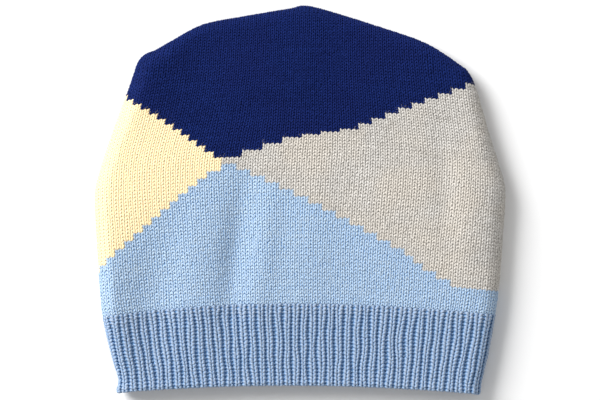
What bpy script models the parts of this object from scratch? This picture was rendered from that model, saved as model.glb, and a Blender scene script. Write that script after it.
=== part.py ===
"""Knitted beanie lying flat with its front up, rim toward -Y, crown toward +Y and the floor at Z = 0.

The hat is one pouch of knitted wall that is open at the rim. Four blocks of plain knit in different yarns
make its body, and a band of knit ribs makes its lower end. Metres, +Z up.
"""

import math
from typing import NamedTuple

import bmesh
import bpy
import numpy as np

# Outline of the hat as it lies
HAT_WIDTH = 0.240
HAT_LENGTH = 0.227
RIM_WIDTH = 0.212
SHOULDER_WIDTH = 0.192
BAND_DEPTH = 0.048
RIM_ARCH = 0.0047
RIM_TILT = 0.0006
BAND_TOP_ARCH = 0.0079

# Loft of the upper side over the floor
EDGE_LOFT = 0.0135
MIDDLE_RISE = 0.0030
RIM_RISE = 0.0010
FOLD_REACH = 0.0080
RISE_REACH = 0.045
FULL_RISE_UP = 0.5
DENT_HEIGHT = 0.0012

# Knitted wall
WALL = 0.0024
BAND_WALL = 0.0021
RIB_RELIEF = 0.0012
RIB_COUNT = 88
SEAM_GAP = 0.0003

# Fineness of the faceted surfaces, and how near two points are one
FOLD_SPANS = 5
BODY_COLUMNS = 20
BODY_ROWS = 16
BAND_LEVELS = (0.0, 0.14, 0.5, 1.0)
OUTLINE_STEPS = 24
RING_STEPS = 400
SMOOTH_ANGLE = math.radians(40.0)
WELD = 0.000003


class EdgePoint(NamedTuple):
    """Point of the outline: a share of the width that it follows, and a share of the hat's length."""

    across: float
    width: float
    up: float


class Spot(NamedTuple):
    """Point of a seam line: a share of half the hat's width, and a share of its length."""

    across: float
    up: float


class Swell(NamedTuple):
    """Soft ridge (height over 0) or dent (under 0) of the upper side.

    Its centre and reach are shares of half the hat's width and of its length, its lean is how far its
    upper end stands to the right of its centre, and its height is a share of DENT_HEIGHT.
    """

    across: float
    up: float
    reach_across: float
    reach_up: float
    lean: float
    height: float


LEFT_EDGE = (
    EdgePoint(-1.008, RIM_WIDTH, 0.005),
    EdgePoint(-1.000, RIM_WIDTH, 0.028),
    EdgePoint(-1.039, RIM_WIDTH, 0.100),
    EdgePoint(-0.960, HAT_WIDTH, 0.200),
    EdgePoint(-0.984, HAT_WIDTH, 0.350),
    EdgePoint(-0.999, HAT_WIDTH, 0.500),
    EdgePoint(-0.978, HAT_WIDTH, 0.570),
    EdgePoint(-0.903, HAT_WIDTH, 0.690),
    EdgePoint(-1.030, SHOULDER_WIDTH, 0.800),
    EdgePoint(-0.985, SHOULDER_WIDTH, 0.855),
)
TOP_EDGE = (
    EdgePoint(-0.933, SHOULDER_WIDTH, 0.877),
    EdgePoint(-0.885, SHOULDER_WIDTH, 0.884),
    EdgePoint(-0.787, SHOULDER_WIDTH, 0.908),
    EdgePoint(-0.593, SHOULDER_WIDTH, 0.951),
    EdgePoint(-0.350, SHOULDER_WIDTH, 0.972),
    EdgePoint(-0.058, SHOULDER_WIDTH, 0.993),
    EdgePoint(0.030, SHOULDER_WIDTH, 1.000),
    EdgePoint(0.185, SHOULDER_WIDTH, 0.985),
    EdgePoint(0.538, SHOULDER_WIDTH, 0.938),
    EdgePoint(0.739, SHOULDER_WIDTH, 0.908),
    EdgePoint(0.873, SHOULDER_WIDTH, 0.877),
    EdgePoint(0.972, SHOULDER_WIDTH, 0.847),
)
RIGHT_EDGE = (
    EdgePoint(1.022, SHOULDER_WIDTH, 0.830),
    EdgePoint(1.073, SHOULDER_WIDTH, 0.784),
    EdgePoint(0.917, HAT_WIDTH, 0.676),
    EdgePoint(0.988, HAT_WIDTH, 0.555),
    EdgePoint(0.999, HAT_WIDTH, 0.510),
    EdgePoint(0.990, HAT_WIDTH, 0.434),
    EdgePoint(0.966, HAT_WIDTH, 0.267),
    EdgePoint(0.927, HAT_WIDTH, 0.136),
    EdgePoint(1.022, RIM_WIDTH, 0.075),
    EdgePoint(0.997, RIM_WIDTH, 0.028),
    EdgePoint(0.995, RIM_WIDTH, 0.005),
)

# Lines where two yarns meet, each from the meeting point of all four blocks out past the hat's edge, and
# the corners of a frame that lies outside the hat
MEETING = Spot(-0.375, 0.599)
NAVY_CREAM = (MEETING, Spot(-0.601, 0.688), Spot(-0.835, 0.763), Spot(-1.100, 0.846))
NAVY_GREY = (
    MEETING,
    Spot(-0.241, 0.628),
    Spot(-0.095, 0.654),
    Spot(0.236, 0.683),
    Spot(0.448, 0.723),
    Spot(0.713, 0.780),
    Spot(1.120, 0.868),
)
CREAM_BLUE = (MEETING, Spot(-0.601, 0.504), Spot(-0.981, 0.334), Spot(-1.120, 0.272))
GREY_BLUE = (
    MEETING,
    Spot(0.002, 0.506),
    Spot(0.547, 0.355),
    Spot(0.757, 0.290),
    Spot(0.869, 0.274),
    Spot(1.120, 0.270),
)

LOW_CORNERS = (Spot(-1.2, -0.1), Spot(1.2, -0.1))
HIGH_CORNERS = (Spot(1.2, 1.1), Spot(-1.2, 1.1))

SWELLS = (
    Swell(-0.14, 0.38, 0.09, 0.20, 0.03, 1.0),
    Swell(-0.31, 0.36, 0.07, 0.17, 0.03, -0.9),
    Swell(-0.46, 0.31, 0.10, 0.15, 0.06, 0.8),
    Swell(-0.73, 0.25, 0.08, 0.12, 0.03, -0.7),
    Swell(0.02, 0.86, 0.14, 0.10, 0.00, 0.7),
    Swell(-0.38, 0.80, 0.14, 0.10, 0.00, -0.6),
    Swell(0.45, 0.45, 0.25, 0.20, 0.10, 0.5),
)

# Where a rib's crest starts and ends and its furrow starts and ends, as shares of its pitch
RIB_CORNERS = (0.10, 0.40, 0.60, 0.90)

# Yarn colours (linear RGB) and roughness
NAVY = (0.010, 0.017, 0.095)
CREAM = (0.960, 0.840, 0.570)
GREY = (0.500, 0.480, 0.440)
BLUE = (0.270, 0.430, 0.700)
YARN_ROUGHNESS = 0.9


def clear_scene():
    """Removes every object of the scene."""
    for old in list(bpy.data.objects):
        bpy.data.objects.remove(old, do_unlink=True)


def new_collection(name):
    """Makes a collection under the scene's own."""
    made = bpy.data.collections.new(name)
    bpy.context.scene.collection.children.link(made)
    return made


def yarn(name, colour):
    """Makes a matt yarn material."""
    made = bpy.data.materials.new(name)
    made.use_nodes = True
    shader = made.node_tree.nodes["Principled BSDF"]
    shader.inputs["Base Color"].default_value = (*colour, 1.0)
    shader.inputs["Roughness"].default_value = YARN_ROUGHNESS
    shader.inputs["Metallic"].default_value = 0.0
    return made


def placed(points):
    """Turns edge points into plan positions in metres, with the hat centred on the origin."""
    return np.array([(p.across * p.width / 2, (p.up - 0.5) * HAT_LENGTH) for p in points])


def through(points, steps):
    """Samples a smooth curve that passes through the points, with the given steps between each two."""
    ends = np.vstack([2 * points[0] - points[1], points, 2 * points[-1] - points[-2]])
    share = np.linspace(0.0, 1.0, steps, endpoint=False)[:, None]
    runs = []
    for before, start, end, after in zip(ends, ends[1:], ends[2:], ends[3:]):
        bend = 2 * before - 5 * start + 4 * end - after
        twist = 3 * start - before - 3 * end + after
        runs.append(start + 0.5 * share * ((end - before) + share * (bend + share * twist)))
    return np.vstack([*runs, points[-1:]])


def along(curve, shares, carried=None):
    """Reads a sampled curve, or what is carried along it, at shares of the curve's length."""
    steps = np.linalg.norm(np.diff(curve, axis=0), axis=1)
    length = np.concatenate([[0.0], np.cumsum(steps)])
    wanted = np.asarray(shares) * length[-1]
    values = curve if carried is None else carried
    return np.stack([np.interp(wanted, length, axis) for axis in values.T], axis=-1)


def to_the_right(curve):
    """Unit directions square to a sampled curve, on its right."""
    ahead = np.gradient(curve, axis=0)
    ahead /= np.linalg.norm(ahead, axis=1, keepdims=True)
    return np.stack([ahead[:, 1], -ahead[:, 0]], axis=1)


OUTLINE = through(placed(LEFT_EDGE + TOP_EDGE + RIGHT_EDGE), OUTLINE_STEPS)
INWARD = to_the_right(OUTLINE)
LEFT_SHOULDER = (len(LEFT_EDGE) - 1) * OUTLINE_STEPS
RIGHT_SHOULDER = (len(LEFT_EDGE) + len(TOP_EDGE)) * OUTLINE_STEPS
LEFT = slice(0, LEFT_SHOULDER + 1)
TOP = slice(LEFT_SHOULDER, RIGHT_SHOULDER + 1)
RIGHT = slice(None, RIGHT_SHOULDER - 1, -1)


def edge_distance(plan):
    """Distance in plan from each point to the side folds and the crown's edge, which run on below the rim."""
    below = np.array([0.0, -2 * FOLD_REACH])
    line = np.vstack([OUTLINE[:1] + below, OUTLINE, OUTLINE[-1:] + below])
    start = line[:-1]
    run = np.diff(line, axis=0)
    offset = plan[..., None, :] - start
    share = np.clip((offset * run).sum(-1) / (run * run).sum(-1), 0.0, 1.0)
    return np.linalg.norm(offset - share[..., None] * run, axis=-1).min(-1)


def fold_rise(distance):
    """Share of the fold's height that the wall has reached at a distance from the edge."""
    inward = np.clip(distance / FOLD_REACH, 0.0, 1.0)
    return np.sqrt(1.0 - (1.0 - inward) ** 2)


def smooth_share(share):
    """Share that starts and ends without a kink."""
    share = np.clip(share, 0.0, 1.0)
    return share * share * (3.0 - 2.0 * share)


def swell_height(plan):
    """Height that the ridges and dents add to the upper side."""
    across = plan[..., 0] / (HAT_WIDTH / 2)
    up = plan[..., 1] / HAT_LENGTH + 0.5
    total = np.zeros(plan.shape[:-1])
    for swell in SWELLS:
        over = (up - swell.up) / swell.reach_up
        aside = (across - swell.across - swell.lean * over) / swell.reach_across
        total += swell.height * DENT_HEIGHT * np.exp(-(aside**2) - over**2)
    return total


def front_height(plan, distance):
    """Height of the upper side's outer face."""
    up = plan[..., 1] / HAT_LENGTH + 0.5
    rise = RIM_RISE + (MIDDLE_RISE - RIM_RISE) * smooth_share(up / FULL_RISE_UP)
    lift = smooth_share(distance / RISE_REACH)
    fold = EDGE_LOFT / 2 * (1.0 + fold_rise(distance))
    return fold + lift * (rise + swell_height(plan))


def back_height(distance):
    """Height of the underside's outer face, which lies flat on the floor inside the folds."""
    return EDGE_LOFT / 2 * (1.0 - fold_rise(distance))


def rim_line(x):
    """Y of the rim, which arches up at the middle and lies a little lower at its right corner."""
    share = x / (RIM_WIDTH / 2)
    return -HAT_LENGTH / 2 + RIM_ARCH * (1 - share**2) + RIM_TILT * (1 - share)


def band_top_line(x):
    """Y of the line where the ribs end and the plain knit begins."""
    share = x / (HAT_WIDTH / 2)
    middle = -HAT_LENGTH / 2 + RIM_ARCH + RIM_TILT + BAND_DEPTH
    return middle - BAND_TOP_ARCH * share**2


def side_end(side, line):
    """Share of a side's length at which it crosses a line that is given as Y at X."""
    above = side[:, 1] - line(side[:, 0])
    after = int(np.argmax(above > 0.0))
    part = above[after - 1] / (above[after - 1] - above[after])
    steps = np.linalg.norm(np.diff(side, axis=0), axis=1)
    return (steps[: after - 1].sum() + part * steps[after - 1]) / steps.sum()


def body_lower_line(x):
    """Y of the body's lower end."""
    return band_top_line(x) + SEAM_GAP / 2


def fold_rings():
    """Plan of the fold's facets, one row a ring, from the edge to where the wall is flat.

    Each ring runs up the left side, over the crown and down the right side.
    """
    rows = np.linspace(0.0, 1.0, BODY_ROWS + 1)
    columns = np.linspace(0.0, 1.0, BODY_COLUMNS + 1)[1:-1]
    left_end = side_end(OUTLINE[LEFT], body_lower_line)
    right_end = side_end(OUTLINE[RIGHT], body_lower_line)
    stretches = (
        (LEFT, left_end + (1.0 - left_end) * rows),
        (TOP, columns),
        (RIGHT, (right_end + (1.0 - right_end) * rows)[::-1]),
    )
    edge = np.vstack([along(OUTLINE[part], shares) for part, shares in stretches])
    inward = np.vstack([along(OUTLINE[part], shares, INWARD[part]) for part, shares in stretches])
    turn = np.linspace(0.0, math.pi / 2, FOLD_SPANS + 1)[:, None, None]
    rings = edge + FOLD_REACH * (1.0 - np.cos(turn)) * inward
    rings[:, [0, -1], 1] = body_lower_line(rings[:, [0, -1], 0])
    return rings


def middle_plan(ring):
    """Plan grid inside the folds, rows first, drawn evenly between the innermost ring and the lower end."""
    left = ring[: BODY_ROWS + 1, None]
    top = ring[None, BODY_ROWS : BODY_ROWS + BODY_COLUMNS + 1]
    right = ring[: -BODY_ROWS - 2 : -1, None]
    u = np.linspace(0.0, 1.0, BODY_COLUMNS + 1)[None, :, None]
    v = np.linspace(0.0, 1.0, BODY_ROWS + 1)[:, None, None]
    bottom_x = (1 - u) * left[:1, :, :1] + u * right[:1, :, :1]
    bottom = np.concatenate([bottom_x, body_lower_line(bottom_x)], axis=-1)
    corners = (1 - v) * ((1 - u) * bottom[:, :1] + u * bottom[:, -1:])
    corners = corners + v * ((1 - u) * top[:, :1] + u * top[:, -1:])
    plan = (1 - u) * left + u * right + (1 - v) * bottom + v * top - corners
    plan[:, 0], plan[:, -1], plan[-1] = left[:, 0], right[:, 0], top[0]
    return plan


def grid_faces(rows, columns, first, turned):
    """Quads of a grid whose vertices start at the given number."""
    corner = first + np.arange(rows - 1)[:, None] * columns + np.arange(columns - 1)
    quads = np.stack([corner, corner + 1, corner + columns + 1, corner + columns], axis=-1)
    return (quads[..., ::-1] if turned else quads).reshape(-1, 4)


def body_shell():
    """Open outer surface of the body: the upper and lower sheets, joined along the folds and the crown."""
    rings = fold_rings()
    middle = middle_plan(rings[-1])
    points, faces = [], []
    for plan, turned in ((rings, True), (middle, False)):
        distance = edge_distance(plan)
        if plan is rings:
            distance[0] = 0.0
        heights = (front_height(plan, distance), turned), (back_height(distance), not turned)
        for height, flipped in heights:
            faces.append(grid_faces(*height.shape, sum(map(len, points)), flipped))
            points.append(np.dstack([plan, height]).reshape(-1, 3))
    mesh = bpy.data.meshes.new("body shell")
    mesh.from_pydata(np.concatenate(points).tolist(), [], np.concatenate(faces).tolist())
    work = bmesh.new()
    work.from_mesh(mesh)
    bmesh.ops.remove_doubles(work, verts=work.verts, dist=WELD)
    work.to_mesh(mesh)
    work.free()
    return mesh


def region(*lines):
    """Joins seam lines into a closed outline in metres and draws it in by half the seam gap."""
    spots = [spot for line in lines for spot in line]
    loop = np.array([(s.across * HAT_WIDTH / 2, (s.up - 0.5) * HAT_LENGTH) for s in spots])
    ahead = np.roll(loop, -1, axis=0) - loop
    ahead = ahead / np.linalg.norm(ahead, axis=1, keepdims=True)
    inward = np.stack([-ahead[:, 1], ahead[:, 0]], axis=1)
    before = np.roll(inward, 1, axis=0)
    share = 1.0 + (inward * before).sum(axis=1, keepdims=True)
    return loop + SEAM_GAP / 2 * (inward + before) / share


def prism(name, loop, collection):
    """Makes the cutter that stands on a plan outline and reaches past the hat above and below."""
    work = bmesh.new()
    floor = [work.verts.new((x, y, -EDGE_LOFT)) for x, y in loop]
    base = work.faces.new(floor)
    raised = bmesh.ops.extrude_face_region(work, geom=[base])["geom"]
    moved = [item for item in raised if isinstance(item, bmesh.types.BMVert)]
    bmesh.ops.translate(work, verts=moved, vec=(0.0, 0.0, 2 * (EDGE_LOFT + MIDDLE_RISE) + EDGE_LOFT))
    bmesh.ops.recalc_face_normals(work, faces=work.faces)
    mesh = bpy.data.meshes.new(name)
    work.to_mesh(mesh)
    work.free()
    cutter = bpy.data.objects.new(name, mesh)
    collection.objects.link(cutter)
    cutter.hide_render = True
    cutter.display_type = "WIRE"
    return cutter


def block(name, shell, cutter, material, collection):
    """Makes one block of plain knit: the body's wall inside the cutter's outline."""
    mesh = shell.copy()
    mesh.name = name
    mesh.materials.append(material)
    made = bpy.data.objects.new(name, mesh)
    collection.objects.link(made)
    wall = made.modifiers.new("knitted wall", "SOLIDIFY")
    wall.thickness = WALL
    wall.offset = -1.0
    cut = made.modifiers.new("yarn change", "BOOLEAN")
    cut.operation = "INTERSECT"
    cut.solver = "EXACT"
    cut.object = cutter
    return made


def row_end(side, line):
    """Point of a side where it meets a row that is given as Y at X."""
    return along(side, [side_end(side, line)])[0]


def band_ring(level):
    """Outer and inner loops of the band at a share of its depth, as (columns, 3) arrays.

    The loop runs over the upper side from left to right and back under it, with half of the ribs on each
    side. Each rib has a flat crest and a flat furrow, and the inner face follows them, because a knit rib is
    hollow behind its crest.
    """

    def line(x):
        return (1 - level) * rim_line(x) + level * (band_top_line(x) - SEAM_GAP / 2)

    below = np.array([[0.0, -2 * FOLD_REACH]])
    left = row_end(np.vstack([OUTLINE[:1] + below, OUTLINE[LEFT]]), line)
    right = row_end(np.vstack([OUTLINE[-1:] + below, OUTLINE[RIGHT]]), line)
    share = (1.0 - np.cos(np.linspace(0.0, math.pi, RING_STEPS))) / 2
    x = left[0] + (right[0] - left[0]) * share
    plan = np.stack([x, line(x)], axis=1)
    distance = edge_distance(plan)
    distance[[0, -1]] = 0.0
    front = np.column_stack([plan, front_height(plan, distance)])
    back = np.column_stack([plan, back_height(distance)])
    side_ribs = RIB_COUNT // 2
    shares = ((np.arange(side_ribs)[:, None] + RIB_CORNERS) / side_ribs).ravel()
    points = np.vstack([along(front, shares), along(back[::-1], shares)])
    tangent = np.roll(points, -1, axis=0) - np.roll(points, 1, axis=0)
    inward = np.column_stack([tangent[:, 2], np.zeros(len(points)), -tangent[:, 0]])
    inward /= np.linalg.norm(inward, axis=1, keepdims=True)
    furrow = np.tile([0.0, 0.0, RIB_RELIEF, RIB_RELIEF], 2 * side_ribs)[:, None]
    return points + furrow * inward, points + (furrow + BAND_WALL) * inward


def rib_band(name, material, collection):
    """Makes the ribbed band as a closed wall lofted through its rings."""
    rings = [band_ring(level) for level in BAND_LEVELS]
    shells = [outer for outer, _ in rings] + [inner for _, inner in reversed(rings)]
    work = bmesh.new()
    loops = [[work.verts.new(point) for point in shell] for shell in shells]
    for lower, upper in zip(loops, loops[1:] + loops[:1]):
        for column in range(len(lower)):
            quad = lower[column - 1], lower[column], upper[column], upper[column - 1]
            work.faces.new(quad)
    bmesh.ops.recalc_face_normals(work, faces=work.faces)
    mesh = bpy.data.meshes.new(name)
    work.to_mesh(mesh)
    work.free()
    mesh.materials.append(material)
    made = bpy.data.objects.new(name, mesh)
    collection.objects.link(made)
    return made


def main():
    """Builds the hat's four body blocks and its ribbed band."""
    clear_scene()
    hat = new_collection("beanie")
    cutters = new_collection("cutters")
    blocks = (
        ("navy_crown", NAVY, region(NAVY_GREY, HIGH_CORNERS, NAVY_CREAM[:0:-1])),
        ("cream_side", CREAM, region(NAVY_CREAM, CREAM_BLUE[:0:-1])),
        ("grey_side", GREY, region(GREY_BLUE, NAVY_GREY[:0:-1])),
        ("blue_lower_body", BLUE, region(CREAM_BLUE, LOW_CORNERS, GREY_BLUE[:0:-1])),
    )
    shell = body_shell()
    for name, colour, outline in blocks:
        cutter = prism(name + " outline", outline, cutters)
        block(name, shell, cutter, yarn(name + " yarn", colour), hat)
    rib_band("rib_band", yarn("rib_band yarn", BLUE), hat)
    for part in hat.objects:
        part.data.shade_smooth()
        part.data.set_sharp_from_angle(angle=SMOOTH_ANGLE)


main()
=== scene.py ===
"""Looks of the knitted beanie: each stitch of its five yarn blocks, lying on a pale floor under soft light.

The hat is one knitted tube that lies flat. Its cloth is described once, as a sheet of stitch columns (wales)
and rows (courses) that lies over the hat's upper face, rolls round its side folds and its crown, and comes
back as the underside. Every stitch, purl bump and stretch of backing is placed on that sheet. Metres, +Z up.
"""

import logging
import math
from dataclasses import dataclass, fields
from enum import Enum
from typing import NamedTuple

import bpy
import numpy as np
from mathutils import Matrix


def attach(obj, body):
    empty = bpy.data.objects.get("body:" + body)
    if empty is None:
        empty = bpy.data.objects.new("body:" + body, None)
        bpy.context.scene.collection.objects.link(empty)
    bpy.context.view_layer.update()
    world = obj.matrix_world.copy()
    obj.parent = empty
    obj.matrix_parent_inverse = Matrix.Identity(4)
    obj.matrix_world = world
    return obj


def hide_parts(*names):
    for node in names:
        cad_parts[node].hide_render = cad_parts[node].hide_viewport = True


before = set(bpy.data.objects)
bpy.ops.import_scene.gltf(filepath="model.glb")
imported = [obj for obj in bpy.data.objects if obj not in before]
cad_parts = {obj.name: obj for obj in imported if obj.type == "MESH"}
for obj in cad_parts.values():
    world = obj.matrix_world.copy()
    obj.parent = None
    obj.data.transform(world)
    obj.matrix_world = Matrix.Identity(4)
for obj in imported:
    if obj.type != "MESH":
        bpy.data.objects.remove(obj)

LOG = logging.getLogger("beanie")
SEED = 4245
CLOTH_SEED = 4250

Array = np.ndarray
Colour = tuple[float, float, float]
Stairs = tuple[tuple[int, int, int], ...]


class Face(Enum):
    """The two sides of the flat hat."""

    UPPER = "upper"
    UNDER = "under"


class Block(Enum):
    """The five yarn blocks, by the CAD node that each one stands for."""

    NAVY = "navy_crown"
    CREAM = "cream_side"
    GREY = "grey_side"
    BLUE = "blue_lower_body"
    RIB = "rib_band"


class Station(NamedTuple):
    """Cross-section of a short piece of yarn.

    up is in courses and aside in wales, both from the stitch's foot, lift is the height of the yarn's centre
    over the cloth's outer face, and width and height are the section's full sizes, which are 0 at its ends.
    """

    up: float
    aside: float
    lift: float
    width: float = 0.0
    height: float = 0.0


HAT_WIDTH = 0.240
RIM_WIDTH = 0.212
SHOULDER_WIDTH = 0.192

# Plan outline from the lower left corner over the crown to the lower right one. Each run has the width that
# its points follow, and a point is a share of half that width and a share of the hat's length.
OUTLINE = (
    (RIM_WIDTH, ((-1.012, 0.005), (-1.010, 0.017), (-1.000, 0.040), (-1.039, 0.100))),
    (HAT_WIDTH, ((-0.960, 0.200), (-0.984, 0.350), (-0.999, 0.500), (-0.978, 0.570), (-0.903, 0.690))),
    (SHOULDER_WIDTH, ((-1.030, 0.800), (-0.985, 0.855), (-0.933, 0.877), (-0.885, 0.884), (-0.787, 0.908),
                      (-0.593, 0.951), (-0.350, 0.972), (-0.058, 0.993), (0.030, 1.000), (0.185, 0.985),
                      (0.538, 0.938), (0.739, 0.908), (0.873, 0.877), (0.972, 0.847), (1.022, 0.830),
                      (1.073, 0.784))),
    (HAT_WIDTH, ((0.917, 0.676), (0.988, 0.555), (0.999, 0.510), (0.990, 0.434), (0.966, 0.267),
                 (0.927, 0.136))),
    (RIM_WIDTH, ((1.022, 0.075), (0.997, 0.028), (0.995, 0.005))),
)

# Soft ridges (height over 0) and dents (under 0) of the upper face: centre across and up, reach across and
# up, lean and height. Centre and reach are shares of half the hat's width and of its length, the lean is how
# far the upper end stands to the right of the centre, and the height is a share of the form's dent height.
SWELLS = (
    (-0.99, 0.26, 0.16, 0.20, 0.02, 1.20),
    (-0.68, 0.28, 0.14, 0.20, 0.03, -1.05),
    (-0.53, 0.32, 0.09, 0.16, 0.05, 0.30),
    (-0.31, 0.36, 0.07, 0.19, 0.04, -1.00),
    (-0.17, 0.38, 0.07, 0.20, 0.04, 0.50),
    (0.03, 0.38, 0.13, 0.20, 0.04, 0.45),
    (-0.76, 0.80, 0.12, 0.13, 0.04, 0.85),
    (-0.48, 0.80, 0.15, 0.13, 0.00, -0.65),
    (0.02, 0.86, 0.14, 0.10, 0.00, 0.30),
    (0.40, 0.45, 0.20, 0.20, 0.10, 0.10),
    (0.70, 0.52, 0.06, 0.14, -0.02, -0.40),
    (0.84, 0.48, 0.14, 0.26, 0.00, 0.95),
    (-0.80, 0.50, 0.45, 0.45, 0.00, 0.70),
)

# Where the four marked wales cross each height in the first column: the first wale at the left fold, the
# one of the point where four blocks meet, the middle one and the last one at the right fold. Heights are
# shares of the hat's length, crossings shares of half its width.
WALE_MARKS = (0.0, 28.0, 44.0, 88.0)
WALE_ROWS = np.array([
    (0.005, -0.930, -0.328, -0.007, 0.908),
    (0.040, -0.932, -0.331, -0.008, 0.921),
    (0.134, -0.966, -0.343, -0.010, 0.956),
    (0.242, -1.000, -0.353, -0.010, 0.993),
    (0.386, -1.017, -0.367, -0.012, 1.015),
    (0.530, -1.027, -0.380, -0.007, 1.029),
    (0.602, -1.007, -0.380, 0.000, 1.017),
    (0.674, -0.976, -0.350, 0.012, 1.010),
    (0.746, -0.946, -0.324, 0.019, 1.000),
    (0.818, -0.926, -0.306, 0.022, 0.993),
    (0.890, -0.908, -0.297, 0.024, 0.977),
    (0.961, -0.898, -0.291, 0.029, 0.961),
    (1.040, -0.887, -0.288, 0.034, 0.942),
])

# Courses, and the height of each at the hat's middle as a share of its length
COURSE_LEVELS = np.array([
    (-6.0, 0.1805), (0.0, 0.2339), (41.0, 0.5985), (60.0, 0.7455), (77.0, 0.8663), (95.0, 1.0000),
    (104.0, 1.0668),
])

# Shares of half the hat's width, and how far a course near the crown lies under its middle there
CROWN_DROPS = np.array([
    (-1.05, -0.0069), (-0.77, -0.0036), (-0.50, 0.0005), (-0.32, 0.0019), (-0.07, 0.0), (0.15, -0.0007),
    (0.30, -0.0009), (0.80, -0.0046), (1.05, -0.0061),
])

# Stairs of the colour changes, going away from the meeting point of the four blocks: so many times, so many
# wales at one level and then a rise in courses
NAVY_CREAM_STEPS = ((20, 2, 2),)
CREAM_BLUE_STEPS = ((1, 3, -2), (18, 2, -2))
NAVY_GREY_STEPS = ((3, 4, 2), (3, 4, 1), (1, 4, 2), (14, 3, 2))
GREY_BLUE_STEPS = ((13, 3, -2), (2, 2, -2), (2, 3, -2), (1, 20, 0))


def smooth_share(share: Array) -> Array:
    """Share from 0 to 1 that starts and ends without a kink: three squares less two cubes."""
    share = np.clip(share, 0.0, 1.0)
    return share * share * (3.0 - 2.0 * share)


def rounded_read(at: Array, knots: Array, values: Array, reach: float) -> Array:
    """Reads a table with its corners rounded off.

    The value is the mean of five readings on straight lines between the knots, spread evenly over the reach
    on both sides of the place.

    Args:
        at: places to read at.
        knots: places of the table, rising.
        values: values of the table.
        reach: how far the first and last reading lie from the place.

    Returns:
        Values at the places.
    """
    offsets = np.linspace(-reach, reach, 5)
    return sum(np.interp(at + offset, knots, values) for offset in offsets) / len(offsets)


def unit(vectors: Array) -> Array:
    """Vectors divided by their lengths."""
    return vectors / np.maximum(np.linalg.norm(vectors, axis=-1, keepdims=True), 1e-12)


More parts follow.
